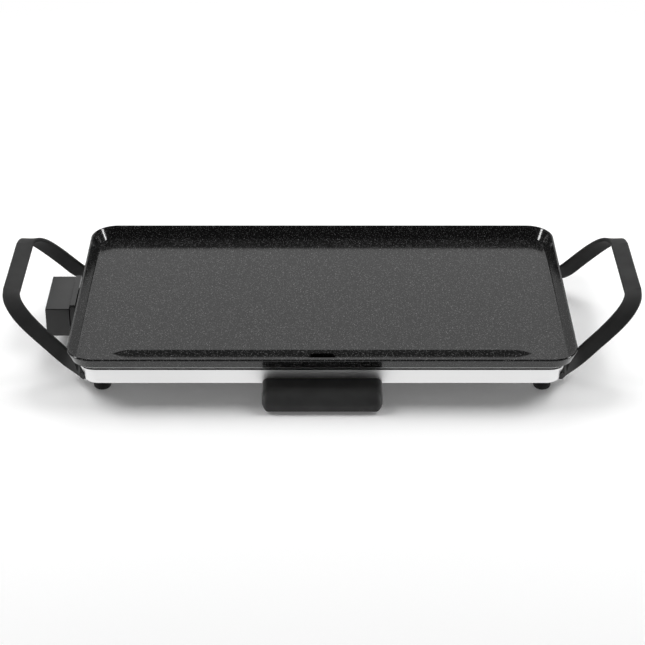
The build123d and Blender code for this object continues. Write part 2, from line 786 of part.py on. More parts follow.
# Socket shroud: the collar beside the rim and the box behind it that surrounds the terminal pins
cavity_width = nose_width + 2 * nose_clearance
cavity_height = nose_height + 2 * nose_clearance
neck_height = cavity_height + 2 * neck_wall
neck_start = shroud_outer - shroud_thickness
neck_shoulder = base_half_length + fit_clearance
neck_floor = wall_reach(notch_z, base_half_length) - base_sheet
neck_end = neck_floor - neck_back
shroud_head_d = 5.4
shroud_head = 2.6
shroud_mid_z = (control_bottom + shroud_top) / 2
with BuildPart() as socket_shroud:
    with BuildSketch(Plane.YZ.offset(-shroud_outer)) as collar:
        with Locations((0, shroud_mid_z)):
            Rectangle(shroud_width, shroud_top - control_bottom)
        fillet(collar.vertices().group_by(Axis.Y)[-1], radius=shroud_corner)
    extrude(amount=shroud_thickness)
    with BuildSketch(Plane.YZ.offset(-neck_start)):
        with Locations((0, element_z)):
            Rectangle(shroud_width, neck_height)
    extrude(amount=neck_start - neck_shoulder)
    with BuildSketch(Plane.YZ.offset(-neck_shoulder)):
        with Locations((0, element_z)):
            Rectangle(cavity_width + 2 * neck_wall, neck_height)
    extrude(amount=neck_shoulder - neck_end)
    with BuildSketch(Plane.YZ.offset(-shroud_outer)):
        with Locations((0, element_z)):
            Rectangle(cavity_width, cavity_height)
    extrude(amount=shroud_outer - neck_floor, mode=Mode.SUBTRACT)
    with BuildSketch(Plane.YZ.offset(-neck_floor)):
        with Locations(*pin_places):
            Circle(bush_d / 2 + fit_clearance)
        with Locations((0, element_z)):
            Circle(probe_d / 2 + slide_clearance)
    extrude(amount=neck_back, mode=Mode.SUBTRACT)
    with BuildSketch(Plane.YZ.offset(-shroud_outer)):
        with Locations(*shroud_screws_at):
            Circle(shroud_screw_d / 2 + screw_clearance)
    extrude(amount=shroud_outer - neck_shoulder, mode=Mode.SUBTRACT)
    with BuildSketch(Plane.YZ.offset(-shroud_outer)):
        with Locations(*shroud_screws_at):
            Circle(shroud_head_d / 2 + screw_clearance)
    extrude(amount=shroud_head + slide_clearance, mode=Mode.SUBTRACT)
socket_shroud.part.label = "socket_shroud"
export_step(socket_shroud.part, "parts/socket_shroud.step")

# Screws that hold the shroud to the base wall
shroud_seat = shroud_outer - shroud_head - slide_clearance
with BuildPart() as shroud_screws:
    with BuildSketch(Plane.YZ.offset(-shroud_seat)):
        with Locations(*shroud_screws_at):
            Circle(shroud_head_d / 2)
    extrude(amount=-shroud_head)
    with BuildSketch(Plane.YZ.offset(-shroud_seat)):
        with Locations(*shroud_screws_at):
            Circle(shroud_screw_d / 2)
    extrude(amount=shroud_seat - neck_end)
shroud_screws.part.label = "shroud_screws"
export_step(shroud_screws.part, "parts/shroud_screws.step")

# Ceramic bushes that insulate the pins from the shroud
with BuildPart() as pin_bushes:
    with BuildSketch(Plane.YZ.offset(-neck_floor)):
        with Locations(*pin_places):
            Circle(bush_d / 2)
            Circle(pin_d / 2 + fit_clearance, mode=Mode.SUBTRACT)
    extrude(amount=neck_floor - element_start)
pin_bushes.part.label = "pin_bushes"
export_step(pin_bushes.part, "parts/pin_bushes.step")

# Probe sleeve: a tube under the plate that takes the probe of the control
with BuildPart() as probe_sleeve:
    with BuildSketch(Plane.YZ.offset(-sleeve_outer_end)):
        with Locations((0, element_z)):
            Circle(sleeve_d / 2 - fit_clearance)
            Circle(probe_d / 2 + slide_clearance, mode=Mode.SUBTRACT)
    extrude(amount=sleeve_length)
probe_sleeve.part.label = "probe_sleeve"
export_step(probe_sleeve.part, "parts/probe_sleeve.step")

# Drip tray front: a block with a broad round over its front edge, hollow from below as a finger pull
tray_front_height = tray_top_z - tray_ground
tray_block_back = wall_reach(tray_top_z, base_half_width) + slide_clearance
tray_block_front = half_width + tray_front_overhang
tray_block_depth = tray_block_front - tray_block_back
tray_block_mid = -(tray_block_back + tray_block_front) / 2
pull_depth = tray_block_depth - tray_front_wall - tray_pull_margin
pull_mid = -(tray_block_back + tray_front_wall + pull_depth / 2)
tray_pan_z = tray_ground + tray_sheet
tray_screw_z = (tray_pan_z + lip_z) / 2
tray_screws_at = [(-tray_screw_reach, tray_screw_z), (tray_screw_reach, tray_screw_z)]
with BuildPart() as tray_front:
    with BuildSketch(Plane.YZ.offset(-tray_front_width / 2)) as side_view:
        with Locations((tray_block_mid, tray_ground + tray_front_height / 2)):
            Rectangle(tray_block_depth, tray_front_height)
        front_corners = side_view.vertices().group_by(Axis.X)[0]
        fillet(front_corners.sort_by(Axis.Y)[-1], radius=tray_front_round)
    extrude(amount=tray_front_width)
    end_edges = tray_front.faces().filter_by(Axis.X).edges().sort_by(Axis.Y)
    fillet(end_edges[:-2], radius=tray_front_corner)
    with BuildSketch(Plane.XY.offset(tray_ground)):
        with Locations((0, pull_mid)):
            Rectangle(tray_front_width - 2 * tray_front_corner, pull_depth)
    extrude(amount=tray_front_height - tray_front_wall, mode=Mode.SUBTRACT)
    with BuildSketch(Plane.XZ.offset(tray_block_back)):
        with Locations(*tray_screws_at):
            Circle(tray_screw_d / 2 + fit_clearance)
    extrude(amount=tray_front_wall, mode=Mode.SUBTRACT)
tray_front.part.label = "tray_front"
export_step(tray_front.part, "parts/tray_front.step")

# Drip tray pan: a pressed pan with a lip along each side
tray_pan_length = tray_block_back - tray_back
tray_pan_mid = -(tray_block_back + tray_back) / 2
tray_pan_height = lip_top_z - tray_pan_z
with BuildPart() as tray_pan:
    with BuildSketch(Plane.XY.offset(tray_pan_z)):
        with Locations((0, tray_pan_mid)):
            RectangleRounded(tray_width, tray_pan_length, tray_corner)
    extrude(amount=tray_pan_height)
    with BuildSketch(Plane.XY.offset(lip_z)):
        with Locations((0, tray_pan_mid)):
            RectangleRounded(tray_width + 2 * tray_lip, tray_pan_length, tray_corner)
    extrude(amount=tray_sheet)
    fillet(tray_pan.faces().sort_by(Axis.Z)[0].edges(), radius=2 * tray_sheet)
    with BuildSketch(Plane.XY.offset(tray_pan_z + tray_sheet)):
        with Locations((0, tray_pan_mid)):
            RectangleRounded(
                tray_width - 2 * tray_sheet,
                tray_pan_length - 2 * tray_sheet,
                tray_corner - tray_sheet,
            )
    extrude(amount=tray_pan_height, mode=Mode.SUBTRACT)
    with BuildSketch(Plane.XZ.offset(tray_block_back - tray_sheet)):
        with Locations(*tray_screws_at):
            Circle(tray_screw_d / 2 + screw_clearance)
    extrude(amount=tray_sheet, mode=Mode.SUBTRACT)
tray_pan.part.label = "tray_pan"
export_step(tray_pan.part, "parts/tray_pan.step")

# Screws that join the tray's pan and front
tray_head_d = 5.4
tray_head = 1.6
with BuildPart() as tray_screws:
    with BuildSketch(Plane.XZ.offset(tray_block_back - tray_sheet)):
        with Locations(*tray_screws_at):
            Circle(tray_head_d / 2)
    extrude(amount=-tray_head)
    with BuildSketch(Plane.XZ.offset(tray_block_back - tray_sheet)):
        with Locations(*tray_screws_at):
            Circle(tray_screw_d / 2)
    extrude(amount=tray_sheet + tray_front_wall)
tray_screws.part.label = "tray_screws"
export_step(tray_screws.part, "parts/tray_screws.step")

# Control housing: a box that stands against the shroud, with a recess for the dial in its outer end
control_inner = shroud_outer + control_gap
control_depth = control_outer - control_inner
control_height = control_top - control_bottom
cover_top_z = control_bottom + control_wall
recess_d = dial_d + 2 * nose_clearance
recess_floor = control_outer - dial_recess
cup_end = recess_floor - dial_floor
gland_x = -(control_outer - gland_offset)
gland_d = gland_bore + 2 * gland_wall
inside_depth = control_depth - 2 * control_wall
inside_width = control_width - 2 * control_wall
inside_mid = -(control_outer + control_inner) / 2
post_y = inside_width / 2 - control_post_inset
near_post_x = -(control_inner + control_wall + control_post_inset)
far_post_x = -(control_outer - control_wall - control_post_inset)
control_posts = [(near_post_x, -post_y), (near_post_x, post_y), (far_post_x, -post_y)]
dial_offset = dial_margin - control_width / 2
lens_offset = control_width / 2 - lens_margin
dial_place = (dial_offset, control_mid_z)
lens_place = (lens_offset, control_mid_z + lens_rise)
with BuildPart() as control_housing:
    with BuildSketch(Plane.YZ.offset(-control_inner)):
        with Locations((0, control_mid_z)):
            Rectangle(control_width, control_height)
    extrude(amount=-control_depth)
    outer_face = control_housing.faces().sort_by(Axis.X)[0]
    long_edges = control_housing.edges().filter_by(Axis.X)
    fillet(outer_face.edges() + long_edges, radius=control_edge)
    with BuildSketch(Plane.XY.offset(control_bottom)):
        with Locations((inside_mid, 0)):
            Rectangle(inside_depth, inside_width)
    extrude(amount=control_height - control_wall, mode=Mode.SUBTRACT)
    with BuildSketch(Plane.XY.offset(cover_top_z)):
        with Locations(*control_posts):
            Circle(control_post_d / 2)
    extrude(amount=control_height - 1.5 * control_wall)
    with BuildSketch(Plane.YZ.offset(-cup_end)):
        with Locations(dial_place):
            Circle(recess_d / 2 + dial_floor)
    extrude(amount=-(dial_recess + dial_floor - control_wall))
    with BuildSketch(Plane.YZ.offset(-control_outer)):
        with Locations(dial_place):
            Circle(recess_d / 2)
    extrude(amount=dial_recess, mode=Mode.SUBTRACT)
    with BuildSketch(Plane.YZ.offset(-control_outer)):
        with Locations(dial_place):
            Circle(dial_shaft_d / 2 + slide_clearance)
    extrude(amount=dial_recess + dial_floor, mode=Mode.SUBTRACT)
    with BuildSketch(Plane.YZ.offset(-control_outer)):
        with Locations(lens_place):
            Circle(lens_d / 2 + fit_clearance)
    extrude(amount=control_wall, mode=Mode.SUBTRACT)
    with BuildSketch(Plane.YZ.offset(-control_inner)):
        with Locations((0, element_z)):
            Rectangle(nose_width + 2 * fit_clearance, nose_height + 2 * fit_clearance)
    extrude(amount=-control_wall, mode=Mode.SUBTRACT)
    with BuildSketch(Plane.XZ.offset(-control_width / 2)):
        with Locations((gland_x, control_mid_z)):
            Circle(gland_d / 2 + fit_clearance)
    extrude(amount=control_wall, mode=Mode.SUBTRACT)
    with BuildSketch(Plane.XY.offset(cover_top_z)):
        with Locations(*control_posts):
            Circle(control_screw_d / 2 + fit_clearance)
    extrude(amount=control_height / 2, mode=Mode.SUBTRACT)
control_housing.part.label = "control_housing"
export_step(control_housing.part, "parts/control_housing.step")

# Control bottom: a flat cover let into the open underside of the housing
with BuildPart() as control_cover:
    with BuildSketch(Plane.XY.offset(control_bottom)):
        with Locations((inside_mid, 0)):
            Rectangle(inside_depth - 2 * fit_clearance, inside_width - 2 * fit_clearance)
        with Locations(*control_posts):
            Circle(control_screw_d / 2 + screw_clearance, mode=Mode.SUBTRACT)
    extrude(amount=control_wall - fit_clearance)
control_cover.part.label = "control_cover"
export_step(control_cover.part, "parts/control_cover.step")

# Control screws
control_head_d = 4.2
control_head = 1.4
with BuildPart() as control_screws:
    with BuildSketch(Plane.XY.offset(control_bottom)):
        with Locations(*control_posts):
            Circle(control_head_d / 2)
    extrude(amount=-control_head)
    with BuildSketch(Plane.XY.offset(control_bottom)):
        with Locations(*control_posts):
            Circle(control_screw_d / 2)
    extrude(amount=control_wall + control_height / 3)
control_screws.part.label = "control_screws"
export_step(control_screws.part, "parts/control_screws.step")

# Control nose: the heat-proof block that enters the shroud, with a flange inside the housing
nose_root = control_inner + control_wall
nose_tip = neck_floor + nose_gap
with BuildPart() as control_nose:
    with BuildSketch(Plane.YZ.offset(-nose_root)):
        with Locations((0, element_z)):
            Rectangle(nose_width, nose_height)
    extrude(amount=nose_root - nose_tip)
    with BuildSketch(Plane.YZ.offset(-nose_root)):
        with Locations((0, element_z)):
            Rectangle(nose_width + 2 * nose_flange_margin, nose_height + 2 * nose_flange_margin)
    extrude(amount=-nose_flange)
    with BuildSketch(Plane.YZ.offset(-(nose_root + nose_flange))):
        with Locations(*pin_places):
            Circle(socket_d / 2 + fit_clearance)
        with Locations((0, element_z)):
            Circle(probe_d / 2 + fit_clearance)
    extrude(amount=nose_root + nose_flange - nose_tip, mode=Mode.SUBTRACT)
control_nose.part.label = "control_nose"
export_step(control_nose.part, "parts/control_nose.step")

# Contact sockets that take the terminal pins
with BuildPart() as contact_sockets:
    with BuildSketch(Plane.YZ.offset(-(nose_root + nose_flange))):
        with Locations(*pin_places):
            Circle(socket_d / 2)
            Circle(pin_d / 2 + slide_clearance, mode=Mode.SUBTRACT)
    extrude(amount=nose_root + nose_flange - nose_tip)
contact_sockets.part.label = "contact_sockets"
export_step(contact_sockets.part, "parts/contact_sockets.step")

# Probe: the sensing rod of the control, with a round tip
switch_face = cup_end - slide_clearance
switch_back = switch_face - switch_thickness
with BuildPart() as probe:
    with BuildSketch(Plane.YZ.offset(-switch_back)):
        with Locations((0, element_z)):
            Circle(probe_d / 2)
    extrude(amount=switch_back - probe_tip)
    fillet(probe.faces().sort_by(Axis.X)[-1].edges(), radius=probe_d / 2.5)
probe.part.label = "probe"
export_step(probe.part, "parts/probe.step")

# Thermostat switch behind the dial
with BuildPart() as thermostat_switch:
    with BuildSketch(Plane.YZ.offset(-switch_back)):
        with Locations((dial_offset / 2, control_mid_z)):
            RectangleRounded(switch_width, switch_height, switch_corner)
    extrude(amount=-switch_thickness)
    with BuildSketch(Plane.YZ.offset(-switch_face)):
        with Locations(dial_place):
            Circle(dial_shaft_d / 2 + slide_clearance)
    extrude(amount=dial_shaft_seat + slide_clearance, mode=Mode.SUBTRACT)
thermostat_switch.part.label = "thermostat_switch"
export_step(thermostat_switch.part, "parts/thermostat_switch.step")

# Indicator lens and the lamp behind it
with BuildPart() as indicator_lens:
    with BuildSketch(Plane.YZ.offset(-(control_outer - lens_depth))):
        with Locations(lens_place):
            Circle(lens_d / 2)
    extrude(amount=-lens_depth)
    fillet(indicator_lens.faces().sort_by(Axis.X)[0].edges(), radius=lens_d / 5)
indicator_lens.part.label = "indicator_lens"
export_step(indicator_lens.part, "parts/indicator_lens.step")

with BuildPart() as indicator_lamp:
    with BuildSketch(Plane.YZ.offset(-(control_outer - lens_depth))):
        with Locations(lens_place):
            Circle(lamp_d / 2)
    extrude(amount=lamp_length)
    fillet(indicator_lamp.faces().sort_by(Axis.X)[-1].edges(), radius=lamp_d / 4)
indicator_lamp.part.label = "indicator_lamp"
export_step(indicator_lamp.part, "parts/indicator_lamp.step")

# Cord gland: a flanged bushing in the back wall of the control
gland_face = control_width / 2
gland_inner = gland_face - control_wall - gland_tail
with BuildPart() as cord_gland:
    with BuildSketch(Plane.XZ.offset(-gland_inner)):
        with Locations((gland_x, control_mid_z)):
            Circle(gland_d / 2)
    extrude(amount=-(gland_face - gland_inner))
    with BuildSketch(Plane.XZ.offset(-gland_face)):
        with Locations((gland_x, control_mid_z)):
            Circle(gland_flange_d / 2)
    extrude(amount=-gland_flange)
    with BuildSketch(Plane.XZ.offset(-gland_inner)):
        with Locations((gland_x, control_mid_z)):
            Circle(gland_bore / 2)
    extrude(amount=-(gland_face - gland_inner + gland_flange), mode=Mode.SUBTRACT)
cord_gland.part.label = "cord_gland"
export_step(cord_gland.part, "parts/cord_gland.step")

# Leads from the gland to the switch
switch_side = dial_offset / 2 + switch_width / 2
lead_x = -(switch_face + switch_back) / 2
lead_places = [(lead_x, control_mid_z - lead_pitch / 2), (lead_x, control_mid_z + lead_pitch / 2)]
with BuildPart() as control_leads:
    with BuildSketch(Plane.XZ.offset(-switch_side)):
        with Locations(*lead_places):
            Circle(lead_d / 2)
    extrude(amount=-(gland_inner - switch_side))
control_leads.part.label = "control_leads"
export_step(control_leads.part, "parts/control_leads.step")

# Temperature dial: a disc at the bottom of the recess with a grip bar flush with the end of the control
dial_back = recess_floor + slide_clearance
dial_face = dial_back + dial_disc
dial_front = control_outer - dial_flush
with BuildPart() as dial_knob:
    with BuildSketch(Plane.YZ.offset(-dial_back)):
        with Locations(dial_place):
            Circle(dial_d / 2)
    extrude(amount=-dial_disc)
    with BuildSketch(Plane.YZ.offset(-dial_face)):
        with Locations(dial_place):
            SlotOverall(dial_d - 2 * dial_flush, dial_grip_width, rotation=90)
    extrude(amount=-(dial_front - dial_face))
    fillet(dial_knob.faces().sort_by(Axis.X)[0].edges(), radius=dial_grip_width / 6)
    with BuildSketch(Plane.YZ.offset(-dial_back)):
        with Locations(dial_place):
            Circle(dial_shaft_d / 2 + fit_clearance)
    extrude(amount=-(dial_disc + dial_shaft_seat), mode=Mode.SUBTRACT)
dial_knob.part.label = "dial_knob"
export_step(dial_knob.part, "parts/dial_knob.step")

# Dial shaft, from the knob into the switch
with BuildPart() as dial_shaft:
    with BuildSketch(Plane.YZ.offset(-(dial_face + dial_shaft_seat - fit_clearance))):
        with Locations(dial_place):
            Circle(dial_shaft_d / 2)
    extrude(amount=dial_face + dial_shaft_seat - fit_clearance - (switch_face - dial_shaft_seat))
dial_shaft.part.label = "dial_shaft"
export_step(dial_shaft.part, "parts/dial_shaft.step")
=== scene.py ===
import json
import math

import bpy
from mathutils import Matrix, Vector


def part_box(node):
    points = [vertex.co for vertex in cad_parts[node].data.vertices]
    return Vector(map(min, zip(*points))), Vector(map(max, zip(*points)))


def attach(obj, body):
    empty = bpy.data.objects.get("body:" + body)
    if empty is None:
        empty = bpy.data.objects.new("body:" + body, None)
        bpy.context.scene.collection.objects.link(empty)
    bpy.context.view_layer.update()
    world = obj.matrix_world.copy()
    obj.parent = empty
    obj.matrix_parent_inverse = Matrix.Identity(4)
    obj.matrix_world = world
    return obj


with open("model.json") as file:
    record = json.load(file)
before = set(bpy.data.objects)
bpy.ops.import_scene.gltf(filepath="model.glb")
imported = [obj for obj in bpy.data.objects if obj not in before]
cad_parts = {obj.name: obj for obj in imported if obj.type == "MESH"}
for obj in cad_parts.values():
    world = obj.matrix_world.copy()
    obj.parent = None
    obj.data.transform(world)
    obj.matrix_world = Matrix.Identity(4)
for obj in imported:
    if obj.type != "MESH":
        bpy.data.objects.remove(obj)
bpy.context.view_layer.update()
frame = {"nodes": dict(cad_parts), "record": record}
scene = bpy.context.scene
MM = 0.001

# The photograph's camera, worked out from the plate's rim: pixels, millimetres, metres and degrees
IMAGE_SIZE = 645
FOCAL_PIXELS = 1890.0
SENSOR_WIDTH = 36.0
CAMERA_PLACE = (0.0, -1.5554, 0.9241)
CAMERA_PITCH = 30.482
CENTRE_SHIFT_PIXELS = 0.3

# Floor: its grey, its glow for the camera, and in metres its reach and where it fades to plain white
FLOOR_COLOR = 0.90
FLOOR_GLOW = 0.12
FLOOR_REACH = 6.0
FLOOR_FADE_START = 0.42
FLOOR_FADE_END = 0.95

# Background: its brightness to the front and to the back, and the Y of a direction where it changes
BACKGROUND_FRONT = 0.08
BACKGROUND_BACK = 0.90
BACKGROUND_START = 0.50
BACKGROUND_END = 0.78

# Lamps, all aimed at the table under the middle of the plate: metres and watts
BACK_PLACE = (0, 0.95, 1.1)
BACK_SIZE = (1.0, 0.5)
BACK_POWER = 4.0
SIDE_PLACE = (1.1, 0.32, 1.2)
SIDE_SIZE = (0.85, 0.85)
SIDE_POWER = 17.5
PANEL_PLACE = (1.3, -0.30, 0.45)
PANEL_SIZE = (0.22, 0.5)
PANEL_POWER = 9.0

# Print on the end of the control: numbers round the dial, and a pointer on its grip
NUMBER_COUNT = 6
NUMBER_STEP = 54.0
NUMBER_HEIGHT = 2.5 * MM
NUMBER_RING = 12.7 * MM
PRINT_THICKNESS = 0.06 * MM
POINTER_WIDTH = 0.9 * MM
POINTER_LENGTH = 4.2 * MM
POINTER_MARGIN = 1.5 * MM
WHITE_PRINT = (0.80, 0.80, 0.78)

# Turns a shape that faces up, with its top to the back, so that it faces left with its top up
FACE_LEFT = Matrix(((0, 0, -1, 0), (-1, 0, 0, 0), (0, 1, 0, 0), (0, 0, 0, 1)))

# Sockets of the colour mix node, several of which share a name
MIX_FACTOR = 0
MIX_FIRST = 6
MIX_SECOND = 7
MIX_RESULT = 2

# Darkest and lightest shade of a finish, as shares of its colour
BRUSHED_DARK = 0.94
MOULDED_DARK = 0.82
MOULDED_LIGHT = 1.15
PRINTED_DARK = 0.86

# The span that holds nearly all of a noise texture's values
NOISE_LOW = 0.3
NOISE_HIGH = 0.7

# Share of a speck's radius at which it starts to fade
SPECK_CORE = 0.5


class Nodes:
    """Short way to add and join shader nodes in one tree."""

    def __init__(self, tree):
        self.tree = tree
        self.tree.nodes.clear()

    def add(self, kind, **values):
        node = self.tree.nodes.new(kind)
        for name, value in values.items():
            setattr(node, name, value)
        return node

    def join(self, source, target):
        self.tree.links.new(source, target)

    def combine(self, operation, first, second, **values):
        """Two values added, multiplied or compared."""
        node = self.add("ShaderNodeMath", operation=operation, **values)
        self.join(first, node.inputs[0])
        self.join(second, node.inputs[1])
        return node.outputs[0]

    def ranged(self, value, low, high, start=0.0, end=1.0, **values):
        """The value, carried from start..end to low..high."""
        node = self.add("ShaderNodeMapRange", **values)
        numbers = {"From Min": start, "From Max": end, "To Min": low, "To Max": high}
        for socket, number in numbers.items():
            node.inputs[socket].default_value = number
        self.join(value, node.inputs["Value"])
        return node.outputs["Result"]

    def mix(self, factor, first, second):
        """The first shader where the factor is 0, the second where it is 1."""
        node = self.add("ShaderNodeMixShader")
        for source, target in zip((factor, first, second), node.inputs):
            self.join(source, target)
        return node.outputs[0]


class Finish(Nodes):
    """A finish whose colour, gloss and relief come from textures laid in the part's own frame."""

    def __init__(self, name, **constants):
        self.material = bpy.data.materials.new(name)
        self.material.use_nodes = True
        super().__init__(self.material.node_tree)
        self.shader = self.add("ShaderNodeBsdfPrincipled")
        output = self.add("ShaderNodeOutputMaterial")
        self.join(self.shader.outputs[0], output.inputs["Surface"])
        for socket, value in constants.items():
            self.shader.inputs[socket.replace("_", " ")].default_value = value

    def place(self, stretch=(1, 1, 1)):
        """Coordinates of the part, squeezed along each axis."""
        place = self.add("ShaderNodeTexCoord")
        squeeze = self.add("ShaderNodeMapping")
        squeeze.inputs["Scale"].default_value = stretch
        self.join(place.outputs["Object"], squeeze.inputs["Vector"])
        return squeeze.outputs["Vector"]

    def noise(self, grain, detail=2.0, stretch=(1, 1, 1)):
        """Clouds about one grain wide."""
        texture = self.add("ShaderNodeTexNoise")
        texture.inputs["Scale"].default_value = 1 / grain
        texture.inputs["Detail"].default_value = detail
        self.join(self.place(stretch), texture.inputs["Vector"])
        return texture.outputs["Fac"]

    def cells(self, size):
        """Distance to the middle of the nearest cell, and a random value for each cell."""
        texture = self.add("ShaderNodeTexVoronoi")
        texture.inputs["Scale"].default_value = 1 / size
        self.join(self.place(), texture.inputs["Vector"])
        split = self.add("ShaderNodeSeparateColor")
        self.join(texture.outputs["Color"], split.inputs[0])
        return texture.outputs["Distance"], split.outputs[0]

    def specks(self, size, radius, share):
        """Round dots in a share of the cells, each with its own brightness."""
        distance, chance = self.cells(size)
        dot = self.ranged(distance, 1.0, 0.0, SPECK_CORE * radius / size, radius / size)
        level = self.ranged(chance, 0.0, 1.0, 1 - share, 1.0)
        return self.combine("MULTIPLY", dot, level)

    def color(self, value, dark, light):
        """Colour from dark to light by a value."""
        mix = self.add("ShaderNodeMix", data_type="RGBA")
        mix.inputs[MIX_FIRST].default_value = (*dark, 1)
        mix.inputs[MIX_SECOND].default_value = (*light, 1)
        self.join(value, mix.inputs[MIX_FACTOR])
        self.join(mix.outputs[MIX_RESULT], self.shader.inputs["Base Color"])

    def gloss(self, value, smooth, rough):
        """Roughness from smooth to rough by a value."""
        self.join(self.ranged(value, smooth, rough), self.shader.inputs["Roughness"])

    def relief(self, value, depth):
        """Small bumps of a depth."""
        bump = self.add("ShaderNodeBump")
        bump.inputs["Distance"].default_value = depth
        self.join(value, bump.inputs["Height"])
        self.join(bump.outputs["Normal"], self.shader.inputs["Normal"])


def grey(level):
    """A colour without a tint."""
    return (level, level, level)


def nonstick():
    """Dark cast coating with fine pale specks of two sizes."""
    f = Finish("nonstick", Specular_IOR_Level=0.42)
    fine = f.specks(size=1.1 * MM, radius=0.42 * MM, share=0.85)
    coarse = f.specks(size=3.4 * MM, radius=0.65 * MM, share=0.8)
    specks = f.combine("MAXIMUM", fine, coarse)
    clouds = f.ranged(f.noise(14 * MM, detail=3.0), 0.0, 0.02, NOISE_LOW, NOISE_HIGH)
    f.color(f.combine("ADD", specks, clouds), dark=grey(0.006), light=grey(0.16))
    f.gloss(f.noise(3 * MM), smooth=0.10, rough=0.17)
    f.relief(f.noise(1.1 * MM, detail=1.0), depth=0.02 * MM)
    return f.material


def brushed(name, color, smooth, rough, grain, stretch):
    """Rolled or brushed metal with lines along its length."""
    f = Finish(name, Metallic=1.0)
    lines = f.noise(grain, detail=4.0, stretch=stretch)
    clouds = f.ranged(f.noise(40 * MM), low=0.7, high=1.3)
    dark = [BRUSHED_DARK * c for c in color]
    f.color(f.combine("MULTIPLY", lines, clouds), dark, color)
    f.gloss(lines, smooth, rough)
    f.relief(lines, depth=0.003 * MM)
    return f.material


def spangled():
    """Zinc-coated sheet with large pale crystals."""
    f = Finish("plain_sheet", Metallic=1.0)
    distance, crystal = f.cells(7 * MM)
    f.color(crystal, dark=grey(0.40), light=grey(0.56))
    half_crystal = f.ranged(crystal, low=0.0, high=0.5)
    half_noise = f.ranged(f.noise(2 * MM), low=0.0, high=0.5)
    f.gloss(f.combine("ADD", half_crystal, half_noise), smooth=0.30, rough=0.50)
    f.relief(distance, depth=0.02 * MM)
    return f.material


def tinted(name, dark, light, smooth, rough, size):
    """Bare metal that heat or plating has coloured in patches of a size."""
    f = Finish(name, Metallic=1.0)
    patches = f.noise(size, detail=4.0)
    f.color(f.ranged(patches, 0.0, 1.0, NOISE_LOW, NOISE_HIGH), dark, light)
    f.gloss(f.noise(0.8 * MM), smooth, rough)
    f.relief(f.noise(0.5 * MM), depth=0.006 * MM)
    return f.material


def moulded(name, color, smooth, rough, grain, depth, specular=0.5):
    """Moulded plastic or rubber with a fine even grain."""
    f = Finish(name, Specular_IOR_Level=specular)
    fine = f.noise(grain)
    clouds = f.ranged(f.noise(22 * MM), 0.0, 1.0, NOISE_LOW, NOISE_HIGH)
    dark = [MOULDED_DARK * c for c in color]
    light = [MOULDED_LIGHT * c for c in color]
    f.color(f.combine("MULTIPLY", clouds, f.ranged(fine, low=0.6, high=1.4)), dark, light)
    f.gloss(fine, smooth, rough)
    f.relief(fine, depth)
    return f.material


def coating():
    """Dark enamel of the tray's pan, with sparse fine specks."""
    f = Finish("tray_coating")
    specks = f.specks(size=1.6 * MM, radius=0.35 * MM, share=0.5)
    f.color(specks, dark=grey(0.020), light=grey(0.16))
    f.gloss(f.noise(4 * MM), smooth=0.25, rough=0.40)
    f.relief(f.noise(1.6 * MM, detail=1.0), depth=0.02 * MM)
    return f.material


def ceramic():
    """Unglazed pale ceramic with darker grains."""
    f = Finish("ceramic")
    pale = (0.74, 0.71, 0.65)
    grains = (0.45, 0.41, 0.36)
    f.color(f.specks(size=0.9 * MM, radius=0.22 * MM, share=0.6), pale, grains)
    f.gloss(f.noise(0.6 * MM), smooth=0.45, rough=0.65)
    f.relief(f.noise(0.4 * MM), depth=0.015 * MM)
    return f.material


def braided():
    """Woven glass cover of a lead."""
    f = Finish("lead_cover")
    weave = f.add("ShaderNodeTexWave", bands_direction="DIAGONAL")
    weave.inputs["Scale"].default_value = 1 / (6 * MM)
    weave.inputs["Distortion"].default_value = 1.5
    f.join(f.place(), weave.inputs["Vector"])
    threads = weave.outputs["Fac"]
    f.color(threads, dark=(0.42, 0.40, 0.36), light=(0.74, 0.72, 0.66))
    f.gloss(threads, smooth=0.6, rough=0.8)
    f.relief(threads, depth=0.05 * MM)
    return f.material


def clear(name, dark, light, transmission, rib):
    """Coloured see-through moulding with fine ribs."""
    f = Finish(name, Transmission_Weight=transmission, IOR=1.49)
    ribs = f.add("ShaderNodeTexWave", wave_type="BANDS", bands_direction="Z")
    ribs.inputs["Scale"].default_value = 1 / rib
    f.join(f.place(), ribs.inputs["Vector"])
    f.color(f.noise(1.5 * MM), dark, light)
    f.gloss(f.noise(0.8 * MM), smooth=0.10, rough=0.22)
    f.relief(ribs.outputs["Fac"], depth=0.03 * MM)
    return f.material


def printed():
    """White ink, slightly uneven."""
    f = Finish("white_print")
    dark = [PRINTED_DARK * c for c in WHITE_PRINT]
    f.color(f.noise(0.25 * MM), dark, WHITE_PRINT)
    f.gloss(f.noise(0.3 * MM), smooth=0.45, rough=0.6)
    return f.material


